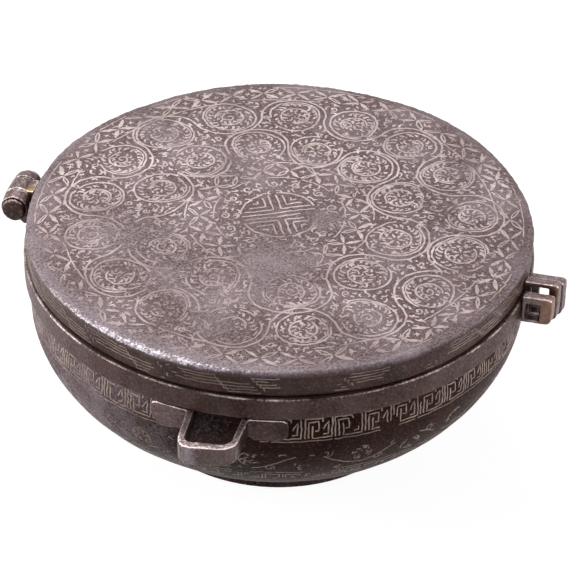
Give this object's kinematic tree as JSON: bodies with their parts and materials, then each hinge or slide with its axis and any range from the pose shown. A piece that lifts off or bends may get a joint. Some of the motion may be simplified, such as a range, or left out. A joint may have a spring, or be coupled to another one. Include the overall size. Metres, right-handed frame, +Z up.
{
  "type": "covered alms bowl",
  "caption": "Round wrought-iron bowl on a foot ring, with a hinged flat lid, strap loops at the sides and a clasp of pierced lugs.",
  "frame": {"origin": "centre of the foot ring's underside, on the surface that the bowl stands on", "axes": "+Z up, -X towards the hinge, +X towards the clasp, -Y towards the front strap loop"},
  "size_m": [0.1949, 0.2076, 0.0795],
  "materials": {
    "iron": "hammered, worn brown-grey patina",
    "band_iron": "forged band, worn bright along its edge",
    "fitting_iron": "filed and worn, with traces of braze and rust",
    "silver": "hammered-in silver wire, worn"
  },
  "bodies": {
    "bowl": {"bowl_shell": "iron", "rim_band": "band_iron", "foot_ring": "iron", "front_strap_loop": "fitting_iron", "rear_strap_loop": "fitting_iron", "hinge_knuckle_front": "fitting_iron", "hinge_knuckle_rear": "fitting_iron", "hinge_pin": "fitting_iron", "clasp_lug_front": "fitting_iron", "clasp_lug_rear": "fitting_iron"},
    "lid": {"lid_shell": "iron", "hinge_knuckle_lid": "fitting_iron", "clasp_lug_lid": "fitting_iron"}
  },
  "joints": [
    {"name": "lid_hinge", "type": "hinge", "parent": "bowl", "child": "lid", "pos_m": [-0.0911, 0, 0.0721], "axis": [0, -1, 0], "range_deg": [0, 200]}
  ]
}
